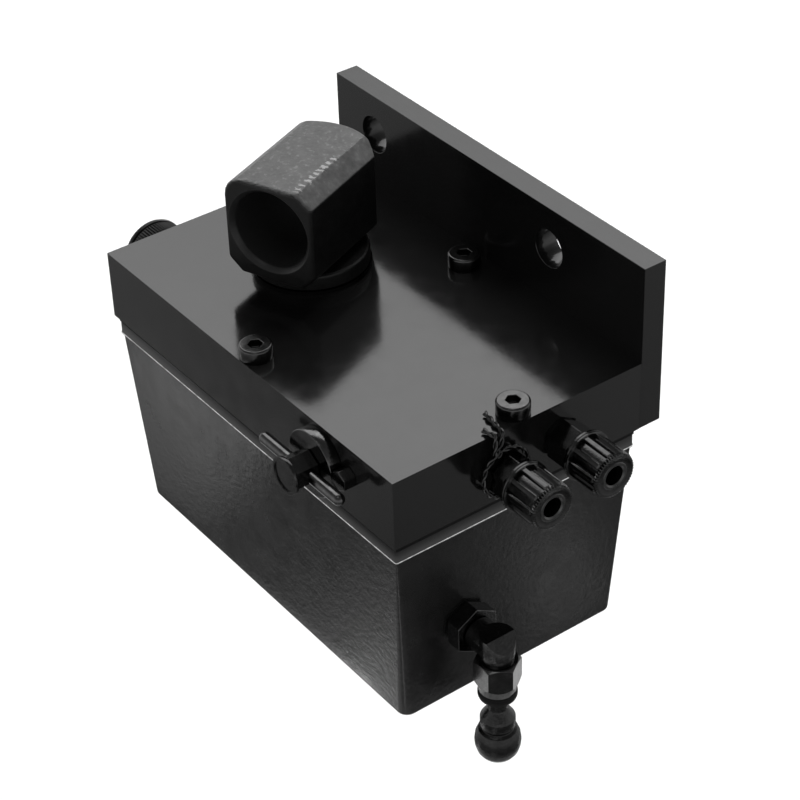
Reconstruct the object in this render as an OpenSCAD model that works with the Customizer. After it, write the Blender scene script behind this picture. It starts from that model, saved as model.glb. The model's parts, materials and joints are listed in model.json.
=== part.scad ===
// Hydraulic reservoir: a drafted tank under a thick lid block that carries the
// ports, with an upright mounting plate along the lid's rear edge.
// Millimetres. The origin is midway between the plate's two holes, on its rear
// face. +X runs along the plate to the right, +Y points into the wall behind
// it, +Z is up. Most parts are placed from the lid's front left top corner.

/* [Lid] */
// Length of the lid and the plate
lid_len = 150; // [148:1:160]
// Depth of the lid, front to back
lid_depth = 90; // [88:1:100]
// Thickness of the lid
lid_h = 23.5; // [23:0.5:28]

/* [Mounting plate] */
// Thickness of the plate
plate_t = 8; // [6:0.5:12]
// Distance from the lid's top to the centres of the plate's holes
hole_rise = 18.5; // [16:0.5:22]
// Plate above the centres of its holes
plate_margin = 14; // [12:0.5:20]
// Distance between the two holes
hole_spacing = 87.5; // [80:0.5:95]
// Diameter of the two holes
hole_d = 12.5; // [8:0.5:14]
// Distance from the plate's left end to the first hole
hole_from_end = 20; // [16:0.5:22]

/* [Tank] */
// Thickness of the seal between lid and tank
gasket_t = 2; // [1.5:0.5:2.5]
// Bottom of the tank's straight rim, below the lid's top
rim_bottom = 30; // [29:0.5:33]
// Bottom of the tank, below the lid's top
tank_bottom = 94; // [90:1:100]
// Draft of the tank's sides in degrees
draft = 2.7; // [1:0.1:3]
// Thickness of the tank's walls and floor
wall = 4; // [3:0.5:5]

/* [Screws] */
// Diameter of the lid screws
screw_d = 6; // [5:0.5:6]
// Diameter of the lid screws' heads
screw_head_d = 10.2; // [9:0.2:10.4]
// Height of the lid screws' heads
screw_head_h = 4.4; // [4:0.2:6]
// Length of the lid screws under the head
screw_len = 35; // [33:1:36]

/* [Filler elbow] */
// Angle that the elbow's port is turned to the right
elbow_turn = 23; // [0:1:40]
// Width of the elbow's body
elbow_w = 31; // [30:1:34]
// Height of the elbow's top above the lid
elbow_top = 38.5; // [37:0.5:41]
// Radius of the elbow's port at the thread crests
port_r = 12.1; // [11:0.1:12.5]
// Height of the port's axis above the lid
port_z = 22.9; // [22:0.1:24]

/* [Tube couplings] */
// Outer diameter of the tubes that the couplings hold
tube_d = 6; // [4:0.5:6]
// Outer radius of the union nuts' ribs
nut_r = 7.5; // [7.3:0.1:8]
// Number of ribs on a union nut
rib_count = 10; // [8:1:16]

/* [Vent valve] */
// Radius of the valve's flange
flange_r = 10.6; // [9:0.2:10.8]
// Diameter of the cross bar
bar_d = 3.8; // [3:0.2:4]
// Length of the cross bar
bar_len = 40; // [30:1:44]

/* [Side cap] */
// Outer radius of the knurled cap
cap_r = 10.6; // [9.6:0.2:11]

/* [Outlet] */
// Distance of the outlet from the tank's front
outlet_y = 26.3; // [24.3:0.5:28.3]
// Depth of the outlet's axis below the lid's top
outlet_drop = 65.7; // [63.7:0.5:70.2]
// Distance from the lid's left end to the axis of the hanging plug
plug_x = 162.4; // [161:0.2:164]

/* [Hidden] */
$fn = 64;

// the lid's front left top corner in the part's frame
lid_left = -(hole_from_end + hole_spacing / 2);
lid_front = -(plate_t + lid_depth);
lid_top = -hole_rise;
plate_h = lid_h + hole_rise + plate_margin;

// gap of a running fit, and gap between pieces that never touch
run = 0.06;
clear = 0.3;

// lid screws: distance along and from the front, on the lid's top
screw_edge = 5.2;
screw_places = [
    [lid_len / 2 + 1, screw_edge],
    [lid_len - screw_edge, lid_depth / 2 + 1.4],
    [lid_len / 2 + 0.8, lid_depth - screw_edge - 2.1]
];
screw_hole_r = screw_d / 2 + 0.2;
boss_r = 7;

// plate screws, along the plate
plate_screw_x = [18, 50, 100, 132];
plate_screw_z = -12;

// tank
gasket_inset = 1.1;
tank_inset = 1.5;
rim_top = lid_h + gasket_t;
cavity_inset = tank_inset + wall;

// filler
filler_xy = [44.6, 46.9];
spigot_r = 13.2;
filler_depth = 16;
washer_t = 1.2;

// tube couplings: distance from the front, height
coupling_yz = [[37.5, -12.5], [60, -12.4]];
coupling_thread_r = 4;
coupling_thread_len = 10;
tube_stub_r = 5.5;
tube_bore_r = tube_d / 2 + 0.05;
nut_start = 10;
nut_end = 23.5;
stub_end = 17;
return_x = lid_len - 20;
return_end = -56;

// side cap
side_yz = [21.9, -12];
side_neck_r = 6;
cap_start = 2;
cap_end = 10;

// vent valve
vent_xz = [115.8, -11.7];
stem_r = 3;
flange_t = 4;
hex_end = 11.9;
bar_y = -7.1;
knob_r = 5.9;
knob_end = 13;
lock_screw_xz = [129.7, -9.5];

// outlet
pad_r = 8;
outlet_face = lid_len - tank_inset - (outlet_drop - pad_r - rim_bottom) * tan(draft);
adapter_r = 5.5;
spigot_in_r = 2.8;
spigot_down_r = 3.2;
outlet_z = -outlet_drop;
elbow_start = outlet_face + 6.5;
elbow_foot = outlet_z - 3.7;
swivel_top = elbow_foot - 0.2;
swivel_bottom = outlet_z - 15.2;
collar_t = 3.4;

// ---- placing and small shapes ----

module on_lid() {
    translate([lid_left, lid_front, lid_top]) children();
}

// a round bar along +X that starts at the origin
module bar_x(r, length) {
    rotate([0, 90, 0]) cylinder(r = r, h = length);
}

// a ring along +X that starts at the origin
module ring_x(r_out, r_in, length) {
    rotate([0, 90, 0]) difference() {
        cylinder(r = r_out, h = length);
        translate([0, 0, -1]) cylinder(r = r_in, h = length + 2);
    }
}

// a hexagon prism along +Z, by its width across flats
module hex_z(across, length) {
    cylinder(d = across / cos(30), h = length, $fn = 6);
}

module hex_x(across, length) {
    rotate([0, 90, 0]) hex_z(across, length);
}

// a round rod from point a to point b
module rod(a, b, r) {
    v = b - a;
    flat = norm([v[0], v[1]]);
    translate(a) rotate([0, atan2(flat, v[2]), atan2(v[1], v[0])]) cylinder(r = r, h = norm(v));
}

// everything on the inner side of a plane through the origin that leans inwards going down
module leaning_half(size) {
    rotate([draft, 0, 0]) translate([-size, 0, -size]) cube([2 * size, 2 * size, 2 * size]);
}

// a box with drafted sides, inset from the lid's edges at its top
module drafted_box(inset, top, bottom) {
    big = 300;
    intersection() {
        translate([inset, inset, -bottom]) cube([
            lid_len - 2 * inset, lid_depth - 2 * inset, bottom - top
        ]);
        translate([0, inset, -rim_bottom]) leaning_half(big);
        translate([0, lid_depth - inset, -rim_bottom]) mirror([0, 1, 0]) leaning_half(big);
        translate([inset, 0, -rim_bottom]) rotate([0, 0, -90]) leaning_half(big);
        translate([lid_len - inset, 0, -rim_bottom]) rotate([0, 0, 90]) leaning_half(big);
    }
}

// ---- lid and plate ----

module lid() {
    color("#15161a") on_lid() difference() {
        translate([0, 0, -lid_h]) cube([lid_len, lid_depth, lid_h]);
        for (p = screw_places) {
            translate([p[0], p[1], -lid_h - 1]) cylinder(r = screw_hole_r, h = lid_h + 2);
        }
        for (x = plate_screw_x) {
            translate([x, lid_depth - 12, plate_screw_z]) rotate([-90, 0, 0]) {
                cylinder(d = screw_d, h = 13);
            }
        }
        translate([filler_xy[0], filler_xy[1], -lid_h - 1]) cylinder(r = spigot_r, h = lid_h + 2);
        for (c = coupling_yz) {
            translate([lid_len - coupling_thread_len, c[0], c[1]]) {
                bar_x(coupling_thread_r, coupling_thread_len + 1);
            }
            translate([return_x, c[0], c[1]]) bar_x(2.5, 12);
            translate([return_x, c[0], -lid_h - 1]) cylinder(r = tube_d / 2, h = lid_h + c[1] + 1);
        }
        translate([-1, side_yz[0], side_yz[1]]) bar_x(side_neck_r + 0.5, 15);
        translate([9, side_yz[0], -lid_h - 1]) cylinder(r = 3.5, h = lid_h + side_yz[1] + 1);
        translate([vent_xz[0], -1, vent_xz[1]]) rotate([-90, 0, 0]) cylinder(r = 5, h = 16);
        translate([vent_xz[0], 12, -lid_h - 1]) cylinder(r = 2, h = lid_h + vent_xz[1] + 1);
        translate([lock_screw_xz[0], -1, lock_screw_xz[1]]) rotate([-90, 0, 0]) {
            cylinder(r = 1.5, h = 10);
        }
    }
}

module mounting_plate() {
    color("#17181c") on_lid() difference() {
        translate([0, lid_depth, -lid_h]) cube([lid_len, plate_t, plate_h]);
        for (side = [0, 1]) {
            translate([hole_from_end + side * hole_spacing, lid_depth - 1, hole_rise]) {
                rotate([-90, 0, 0]) cylinder(d = hole_d, h = plate_t + 2);
            }
        }
        for (x = plate_screw_x) {
            translate([x, lid_depth - 1, plate_screw_z]) rotate([-90, 0, 0]) {
                cylinder(d = screw_d + 0.4, h = plate_t + 2);
                translate([0, 0, plate_t + 1 - screw_d / 2]) {
                    cylinder(d1 = screw_d + 0.4, d2 = 2 * screw_d + 0.4, h = screw_d / 2 + 0.01);
                }
            }
        }
    }
}

module plate_screws() {
    color("#2b2c30") on_lid() for (x = plate_screw_x) {
        translate([x, lid_depth + plate_t, plate_screw_z]) rotate([90, 0, 0]) difference() {
            union() {
                cylinder(d1 = 2 * screw_d, d2 = screw_d, h = screw_d / 2);
                cylinder(d = screw_d, h = plate_t + 10);
            }
            translate([0, 0, -1]) hex_z(4, 3.5);
        }
    }
}

// ---- seal, tank and its screws ----

module gasket() {
    color("#d8d8d6") on_lid() difference() {
        translate([gasket_inset, gasket_inset, -rim_top]) cube([
            lid_len - 2 * gasket_inset, lid_depth - 2 * gasket_inset, gasket_t
        ]);
        difference() {
            translate([cavity_inset, cavity_inset, -rim_top - 1]) cube([
                lid_len - 2 * cavity_inset, lid_depth - 2 * cavity_inset, gasket_t + 2
            ]);
            for (p = screw_places) {
                translate([p[0], p[1], -rim_top - 2]) cylinder(r = boss_r, h = gasket_t + 4);
            }
        }
        for (p = screw_places) {
            translate([p[0], p[1], -rim_top - 1]) cylinder(r = screw_hole_r, h = gasket_t + 2);
        }
    }
}

module tank() {
    boss_bottom = screw_len + 4;
    pad_t = 5.2;
    color("#1b1c1f") on_lid() difference() {
        union() {
            difference() {
                union() {
                    translate([gasket_inset, gasket_inset, -rim_bottom]) cube([
                        lid_len - 2 * gasket_inset, lid_depth - 2 * gasket_inset,
                        rim_bottom - rim_top
                    ]);
                    drafted_box(tank_inset, rim_bottom - 1, tank_bottom);
                }
                drafted_box(cavity_inset, rim_top - 1, tank_bottom - wall);
            }
            intersection() {
                for (p = screw_places) {
                    translate([p[0], p[1], -boss_bottom]) {
                        cylinder(r = boss_r, h = boss_bottom - rim_top);
                    }
                }
                drafted_box(tank_inset, rim_top, tank_bottom);
            }
            translate([outlet_face - pad_t, outlet_y, outlet_z]) bar_x(pad_r, pad_t);
        }
        for (p = screw_places) {
            translate([p[0], p[1], -screw_len - 1]) cylinder(d = screw_d, h = screw_len);
        }
        translate([outlet_face - 20, outlet_y, outlet_z]) bar_x(adapter_r, 30);
    }
}

module lid_screws() {
    color("#8f9196") on_lid() for (p = screw_places) {
        translate([p[0], p[1], 0]) difference() {
            union() {
                cylinder(d = screw_head_d, h = screw_head_h - 0.5);
                translate([0, 0, screw_head_h - 0.5]) {
                    cylinder(d1 = screw_head_d, d2 = screw_head_d - 1, h = 0.5);
                }
                translate([0, 0, -screw_len]) cylinder(d = screw_d, h = screw_len + 1);
            }
            translate([0, 0, screw_head_h - 2.5]) hex_z(4, 4);
        }
    }
}

// ---- filler elbow ----

// the elbow's own frame: vertical leg on the Z axis, port towards -Y
module elbow_frame() {
    translate([filler_xy[0], filler_xy[1], 0]) rotate([0, 0, elbow_turn]) children();
}

module filler_elbow() {
    reach = 22;
    back_r = 21.2;
    neck_top = 5.5;
    chamfer_w = 5.3;
    chamfer_h = 4.3;
    foot_chamfer = 4.6;
    mouth_chamfer = 1.9;
    half = elbow_w / 2;
    flow_r = 10;
    thread_len = 16;
    color("#26272b") on_lid() elbow_frame() difference() {
        union() {
            intersection() {
                rotate([90, 0, 0]) translate([0, 0, -back_r]) linear_extrude(back_r + reach) polygon([
                    [-half, neck_top + foot_chamfer], [foot_chamfer - half, neck_top],
                    [half - foot_chamfer, neck_top], [half, neck_top + foot_chamfer],
                    [half, elbow_top - chamfer_h], [half - chamfer_w, elbow_top],
                    [chamfer_w - half, elbow_top], [-half, elbow_top - chamfer_h]
                ]);
                union() {
                    cylinder(r = back_r, h = elbow_top + 1);
                    translate([-half, -reach, 0]) cube([elbow_w, reach, elbow_top + 1]);
                }
            }
            translate([0, 0, washer_t]) cylinder(r = 18.5, h = neck_top - 0.5);
            translate([0, 0, -filler_depth]) cylinder(r = spigot_r, h = filler_depth + 5);
        }
        translate([0, 0, port_z]) rotate([90, 0, 0]) {
            translate([0, 0, reach - thread_len]) cylinder(r = port_r, h = thread_len + 1);
            translate([0, 0, reach - mouth_chamfer]) {
                cylinder(r1 = port_r, r2 = port_r + mouth_chamfer + 0.01, h = mouth_chamfer + 0.01);
            }
            cylinder(r = flow_r, h = reach);
        }
        translate([0, 0, port_z]) sphere(r = flow_r);
        translate([0, 0, -filler_depth - 1]) cylinder(r = flow_r, h = filler_depth + 1 + port_z);
    }
}

module elbow_washer() {
    color("#55575c") on_lid() elbow_frame() difference() {
        cylinder(r = 19, h = washer_t);
        translate([0, 0, -1]) cylinder(r = spigot_r, h = washer_t + 2);
    }
}

// ---- tube couplings ----

module on_coupling(i) {
    on_lid() translate([lid_len, coupling_yz[i][0], coupling_yz[i][1]]) children();
}

module tube_body(i) {
    seal_t = 0.8;
    color("#3a3b3f") on_coupling(i) difference() {
        union() {
            translate([1 - coupling_thread_len, 0, 0]) {
                bar_x(coupling_thread_r, coupling_thread_len);
            }
            translate([seal_t, 0, 0]) hex_x(12, 8.9 - seal_t);
            translate([seal_t, 0, 0]) bar_x(tube_stub_r, stub_end - seal_t);
        }
        translate([-coupling_thread_len, 0, 0]) bar_x(2, coupling_thread_len + 10);
        translate([8, 0, 0]) bar_x(tube_bore_r, stub_end);
    }
}

module tube_nut(i) {
    flange_t_nut = 1.8;
    drum_r = nut_r - 1;
    rib_w = 2;
    length = nut_end - nut_start;
    color("#4a4b50") on_coupling(i) translate([nut_start, 0, 0]) difference() {
        union() {
            bar_x(nut_r + 0.5, flange_t_nut);
            bar_x(drum_r, length);
            for (k = [0 : rib_count - 1]) {
                rotate([k * 360 / rib_count, 0, 0]) intersection() {
                    translate([0, 0, -rib_w / 2]) cube([length - 1.2, nut_r, rib_w]);
                    bar_x(nut_r, length);
                }
            }
        }
        translate([-1, 0, 0]) bar_x(tube_stub_r + run, stub_end - nut_start + 4.6);
        bar_x(tube_bore_r + 0.06, length + 1);
    }
}

module tube_ferrule(i) {
    color("#b8a060") on_coupling(i) translate([stub_end, 0, 0]) difference() {
        union() {
            bar_x(4.9, 1.4);
            translate([1.4, 0, 0]) rotate([0, 90, 0]) cylinder(r1 = 4.9, r2 = 3.9, h = 1.8);
        }
        translate([-1, 0, 0]) bar_x(tube_bore_r, 6);
    }
}

module tube_seal(i) {
    color("#101010") on_coupling(i) ring_x(6, coupling_thread_r, 0.8);
}

module return_tube(i) {
    top = coupling_yz[i][1] - 4;
    color("#9a9ca0") on_lid() translate([return_x, coupling_yz[i][0], return_end]) difference() {
        cylinder(d = tube_d, h = top - return_end);
        translate([0, 0, -1]) cylinder(d = tube_d - 1.6, h = top - return_end + 2);
    }
}

// ---- knurled cap on the left side ----

module on_side() {
    on_lid() translate([0, side_yz[0], side_yz[1]]) mirror([1, 0, 0]) children();
}

module side_port() {
    color("#3a3b3f") on_side() difference() {
        union() {
            translate([-10, 0, 0]) bar_x(side_neck_r + 0.5, 10.1);
            bar_x(8.5, 1.5);
            bar_x(side_neck_r, cap_end - 4.5);
        }
        translate([-11, 0, 0]) bar_x(3, 30);
    }
}

module side_cap() {
    color("#1d1e21") on_side() translate([cap_start, 0, 0]) difference() {
        bar_x(cap_r, cap_end - cap_start);
        translate([-1, 0, 0]) bar_x(side_neck_r + run, cap_end - cap_start - 1.8);
    }
}

module side_seal() {
    color("#101010") on_side() translate([cap_end - 4, 0, 0]) bar_x(side_neck_r - 0.3, 1.2);
}

// ---- vent valve at the front ----

// the valve's own frame: +Z runs into the lid
module on_vent() {
    on_lid() translate([vent_xz[0], 0, vent_xz[1]]) rotate([-90, 0, 0]) children();
}

module vent_flange() {
    color("#46484d") on_vent() difference() {
        union() {
            translate([0, 0, -flange_t]) cylinder(r = flange_r, h = flange_t);
            translate([0, 0, -1]) cylinder(r = 5, h = 11);
        }
        translate([0, 0, -flange_t - 1]) cylinder(r = stem_r + run, h = 20);
        translate([0, 0, 3]) cylinder(r = 4.2, h = 2);
    }
}

module vent_spindle() {
    color("#7a7c82") on_vent() difference() {
        union() {
            translate([0, 0, -hex_end]) rotate([0, 0, 30]) hex_z(9.2, hex_end - flange_t - clear);
            translate([0, 0, -hex_end]) cylinder(r = stem_r, h = hex_end + 8);
            translate([0, 0, -knob_end]) cylinder(r = knob_r, h = knob_end - hex_end + 0.1);
        }
        translate([-10, 0, bar_y]) bar_x(bar_d / 2, 20);
        translate([0, 0, -knob_end - 1]) cylinder(r = knob_r - 0.8, h = 1.4);
    }
}

module vent_handle() {
    straight = bar_len - bar_d;
    color("#a9abb0") on_vent() translate([0, 0, bar_y]) {
        translate([-straight / 2, 0, 0]) bar_x(bar_d / 2, straight);
        for (side = [-1, 1]) {
            translate([side * straight / 2, 0, 0]) sphere(d = bar_d);
        }
    }
}

module vent_seal() {
    section_r = 0.54;
    color("#101010") on_vent() translate([0, 0, 4]) rotate_extrude() {
        translate([stem_r + run + section_r, 0]) circle(r = section_r, $fn = 32);
    }
}

module flange_lock_screw() {
    color("#6d6f75") on_lid() translate([lock_screw_xz[0], 0, lock_screw_xz[1]]) rotate([90, 0, 0]) {
        rotate([0, 0, 30]) hex_z(5.8, 4.1);
        translate([0, 0, -8]) cylinder(r = 1.5, h = 9);
    }
}

// ---- lock wire round the first coupling's neck ----

module lock_wire() {
    wire_r = 0.9;
    loop_r = 7.95;
    loop_x = lid_len + 2.6;
    axis = coupling_yz[0];
    tip_a = [lid_len - 8.8, 38.9, wire_r];
    edge_a = [lid_len + 0.9, 37.5, wire_r];
    bend_a = [lid_len + 2.2, 36.3, -1.2];
    tip_b = [lid_len - 2.8, 33.6, wire_r];
    edge_b = [lid_len + 1.6, 34.4, wire_r];
    join = [loop_x, axis[0] - loop_r * cos(62), axis[1] + loop_r * sin(62)];
    color("#5b5c60") on_lid() {
        translate([loop_x, axis[0], axis[1]]) rotate([0, 90, 0]) rotate_extrude() {
            translate([loop_r, 0]) circle(r = wire_r, $fn = 24);
        }
        for (pair = [[tip_a, edge_a], [edge_a, bend_a], [bend_a, join], [tip_b, edge_b], [edge_b, join]]) {
            rod(pair[0], pair[1], wire_r - 0.1);
        }
        for (p = [edge_a, bend_a, edge_b]) {
            translate(p) sphere(r = wire_r, $fn = 24);
        }
    }
}

// ---- outlet ----

module on_outlet() {
    on_lid() translate([outlet_face, outlet_y, outlet_z]) children();
}

module on_plug() {
    on_lid() translate([plug_x, outlet_y, 0]) children();
}

module outlet_washer() {
    color("#101010") on_outlet() ring_x(7, adapter_r, 0.8);
}

module outlet_adapter() {
    color("#3c3d42") on_outlet() difference() {
        union() {
            translate([-17, 0, 0]) bar_x(adapter_r, 18);
            translate([0.8, 0, 0]) hex_x(14, 5.2);
            translate([5, 0, 0]) bar_x(spigot_in_r, 6.4);
        }
        translate([-18, 0, 0]) bar_x(1.8, 40);
    }
}

module outlet_locknut() {
    color("#6d6f75") on_outlet() translate([-9.7, 0, 0]) difference() {
        hex_x(19, 4.5);
        translate([-1, 0, 0]) bar_x(adapter_r, 7);
    }
}

module suction_strainer() {
    mouth_len = 7;
    length = 41;
    color("#9a9ca0") on_outlet() translate([-9.8 - length, 0, 0]) difference() {
        bar_x(8, length);
        translate([1.5, 0, 0]) bar_x(7, length - mouth_len - 1.5);
        bar_x(adapter_r, length + 1);
        translate([-1, 0, 0]) bar_x(adapter_r, 2);
        for (k = [0 : 5]) {
            translate([5 + 5 * k, -10, -1]) cube([2.4, 20, 2]);
            translate([5 + 5 * k, -1, -10]) cube([2.4, 2, 20]);
        }
    }
    color("#9a9ca0") on_outlet() translate([-9.8 - length, 0, 0]) bar_x(adapter_r, 1.5);
}

module outlet_elbow() {
    body_r = 5.3;
    leg_r = 5.1;
    crown = outlet_z + leg_r;
    cut = 5;
    front = plug_x + body_r + 1;
    color("#45464b") on_lid() translate([0, outlet_y, 0]) difference() {
        union() {
            intersection() {
                union() {
                    translate([elbow_start, 0, outlet_z]) bar_x(leg_r, plug_x - elbow_start);
                    translate([plug_x, 0, elbow_foot]) cylinder(r = body_r, h = crown - elbow_foot);
                }
                rotate([90, 0, 0]) translate([0, 0, -body_r - 1]) {
                    linear_extrude(2 * body_r + 2) polygon([
                        [elbow_start - 1, elbow_foot], [front, elbow_foot],
                        [front, crown - cut], [front - cut, crown], [elbow_start - 1, crown]
                    ]);
                }
            }
            translate([plug_x, 0, elbow_foot - 5.5]) cylinder(r = spigot_down_r, h = 7);
        }
        translate([elbow_start - 1, 0, outlet_z]) bar_x(spigot_in_r + run, 6.5);
        translate([elbow_start - 1, 0, outlet_z]) bar_x(1.8, plug_x - elbow_start + 1);
        translate([plug_x, 0, elbow_foot - 6]) cylinder(r = 1.8, h = outlet_z - elbow_foot + 6);
        translate([plug_x, 0, outlet_z]) sphere(r = 1.8);
    }
}

module outlet_swivel() {
    hex_bottom = swivel_bottom + 2.4;
    hex_len = swivel_top - hex_bottom;
    across = 12.6;
    color("#54565b") on_plug() difference() {
        union() {
            translate([0, 0, hex_bottom]) intersection() {
                hex_z(across, hex_len);
                rotate_extrude() polygon([
                    [0, 0], [across / 2 - 0.2, 0], [across / 2 + 1.2, 1.8],
                    [across / 2 + 1.2, hex_len - 0.9], [across / 2 - 0.2, hex_len], [0, hex_len]
                ]);
            }
            translate([0, 0, swivel_bottom]) cylinder(r = 5.8, h = 3);
        }
        translate([0, 0, swivel_top - 5.5]) cylinder(r = spigot_down_r + run, h = 10);
        translate([0, 0, swivel_bottom - 1]) cylinder(r = 3, h = 10);
    }
}

module outlet_collar() {
    color("#0d0d0e") on_plug() translate([0, 0, swivel_bottom - collar_t]) difference() {
        cylinder(r = 6, h = collar_t);
        translate([0, 0, -1]) cylinder(r = 3, h = collar_t + 2);
    }
}

module outlet_plug() {
    top = swivel_bottom + 2.8;
    bore_r = 2.4;
    color("#7f8187") on_plug() rotate_extrude() polygon([
        [bore_r, top], [3, top], [3, -88.9], [5.35, -92.4], [5.35, -95.4], [4.9, -96.2],
        [4.9, -96.6], [5.95, -97.2], [6.8, -99.4], [7.05, -101.6], [6.9, -103.4],
        [6.3, -105.4], [5.2, -107], [bore_r, -107]
    ]);
}

lid();
mounting_plate();
plate_screws();
gasket();
tank();
lid_screws();
filler_elbow();
elbow_washer();
tube_body(0);  // tube_body_1
tube_body(1);  // tube_body_2
tube_nut(0);  // tube_nut_1
tube_nut(1);  // tube_nut_2
tube_ferrule(0);  // tube_ferrule_1
tube_ferrule(1);  // tube_ferrule_2
tube_seal(0);  // tube_seal_1
tube_seal(1);  // tube_seal_2
return_tube(0);  // return_tube_1
return_tube(1);  // return_tube_2
side_port();
side_cap();
side_seal();
vent_flange();
vent_spindle();
vent_handle();
vent_seal();
flange_lock_screw();
lock_wire();
outlet_adapter();
outlet_washer();
outlet_locknut();
outlet_elbow();
outlet_swivel();
outlet_collar();
outlet_plug();
suction_strainer();
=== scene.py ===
"""Looks of the hydraulic reservoir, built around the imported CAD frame."""
import json
import math
import random

import bmesh
import bpy
from mathutils import Matrix, Vector

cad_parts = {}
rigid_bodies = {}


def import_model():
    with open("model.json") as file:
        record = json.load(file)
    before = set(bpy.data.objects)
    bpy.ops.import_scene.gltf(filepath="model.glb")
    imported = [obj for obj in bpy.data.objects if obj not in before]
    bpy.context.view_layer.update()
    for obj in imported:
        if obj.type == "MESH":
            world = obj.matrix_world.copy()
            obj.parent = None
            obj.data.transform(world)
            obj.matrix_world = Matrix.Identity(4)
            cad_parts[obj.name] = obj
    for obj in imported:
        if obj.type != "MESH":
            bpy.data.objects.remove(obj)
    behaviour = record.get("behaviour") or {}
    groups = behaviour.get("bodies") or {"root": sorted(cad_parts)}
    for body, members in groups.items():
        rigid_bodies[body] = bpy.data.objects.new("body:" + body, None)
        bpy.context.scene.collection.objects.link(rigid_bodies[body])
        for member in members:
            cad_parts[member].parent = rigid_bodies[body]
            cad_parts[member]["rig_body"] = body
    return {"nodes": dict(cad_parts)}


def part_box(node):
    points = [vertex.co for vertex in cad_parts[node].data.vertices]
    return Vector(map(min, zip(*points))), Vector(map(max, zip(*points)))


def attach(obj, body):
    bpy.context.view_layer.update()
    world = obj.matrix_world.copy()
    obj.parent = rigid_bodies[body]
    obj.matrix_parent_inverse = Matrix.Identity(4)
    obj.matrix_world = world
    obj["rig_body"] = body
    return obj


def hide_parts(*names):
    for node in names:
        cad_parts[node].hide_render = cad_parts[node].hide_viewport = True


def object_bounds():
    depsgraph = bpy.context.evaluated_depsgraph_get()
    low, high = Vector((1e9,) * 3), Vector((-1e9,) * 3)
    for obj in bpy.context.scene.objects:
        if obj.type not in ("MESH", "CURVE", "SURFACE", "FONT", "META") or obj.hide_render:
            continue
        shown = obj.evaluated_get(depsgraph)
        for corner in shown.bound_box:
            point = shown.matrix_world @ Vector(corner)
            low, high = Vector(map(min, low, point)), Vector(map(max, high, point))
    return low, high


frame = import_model()
CAD_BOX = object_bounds()
NODES = frame["nodes"]
MM = 0.001


# ---- places taken from the frame ----

def lo(node):
    return Vector(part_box(node)[0])


def hi(node):
    return Vector(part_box(node)[1])


def centre(node):
    return (lo(node) + hi(node)) / 2


LID_LO = lo("lid")
LID_HI = hi("lid")
# the lid's front left top corner, which the lock wire's path is measured from
CORNER = Vector((LID_LO.x, LID_LO.y, LID_HI.z))
# the reservoir hangs on a wall, so the floor lies well below it
FLOOR_Z = CAD_BOX[0][2] - 0.3

# the filler elbow, in millimetres from where its upright axis meets the lid:
# the block's flat port face, its round back and its underside
ELBOW_TURN = math.radians(23)
PORT_FACE = -22
ELBOW_BACK = 21.2
BLOCK_FOOT = 5.5
# its port's height over the lid, its bore and its flared rim
PORT_HEIGHT = 22.9
PORT_RADIUS = 12.7
PORT_RIM_RADIUS = 14.2
# the least angle in degrees at which one of its edges stays sharp
ELBOW_SHARP = 32
# the painted top light on its upward faces, and its bare marks, start and are complete at these
# heights
LIT_AND_WORN_FROM, LIT_AND_WORN_FULL = 30, 34
# the row of bare marks on its top: how far right, and how far back it reaches
MARKS_ACROSS = (9.8, 11.5)
MARKS_BACK = (-19, 2)


# ---- greys, for the surroundings and the materials ----

def grey(value):
    return (value, value, value)


def tone_ramp(tree, source, stops):
    """Turns a value into greys: each stop is (value, how light)."""
    node = tree.nodes.new("ShaderNodeValToRGB")
    ramp = node.color_ramp
    while len(ramp.elements) < len(stops):
        ramp.elements.new(0.5)
    for element, (position, tone) in zip(ramp.elements, stops):
        element.position = position
        element.color = (*grey(tone), 1)
    tree.links.new(source, node.inputs["Fac"])
    return node.outputs["Color"]


# ---- camera ----

CAM_AIM = Vector((0.0204, -0.0474, -0.0509))
CAM_DISTANCE = 0.7352
CAM_TURN = math.radians(54.485)
CAM_DOWN = math.radians(36.194)
CAM_ROLL = math.radians(-2.02)
CAM_LENS = 107.4
SENSOR_WIDTH = 36


def make_camera():
    data = bpy.data.cameras.new("camera")
    data.lens = CAM_LENS
    data.sensor_width = SENSOR_WIDTH
    data.clip_start = 0.01
    data.clip_end = 20
    camera = bpy.data.objects.new("camera", data)
    bpy.context.scene.collection.objects.link(camera)
    away = Vector((
        math.sin(CAM_TURN) * math.cos(CAM_DOWN),
        -math.cos(CAM_TURN) * math.cos(CAM_DOWN),
        math.sin(CAM_DOWN),
    ))
    camera.location = CAM_AIM + away * CAM_DISTANCE
    turn = away.to_track_quat("Z", "Y").to_matrix().to_4x4()
    camera.rotation_euler = (turn @ Matrix.Rotation(CAM_ROLL, 4, "Z")).to_euler()
    bpy.context.scene.camera = camera


# ---- light and floor ----

def area_light(name, place, aim, width, height, power):
    """A rectangular light of this many watts, facing the point it aims at."""
    data = bpy.data.lights.new(name, "AREA")
    data.shape = "RECTANGLE"
    data.size = width
    data.size_y = height
    data.energy = power
    lamp = bpy.data.objects.new(name, data)
    bpy.context.scene.collection.objects.link(lamp)
    lamp.location = place
    lamp.rotation_euler = (Vector(place) - Vector(aim)).to_track_quat("Z", "Y").to_euler()
    return lamp


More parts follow.
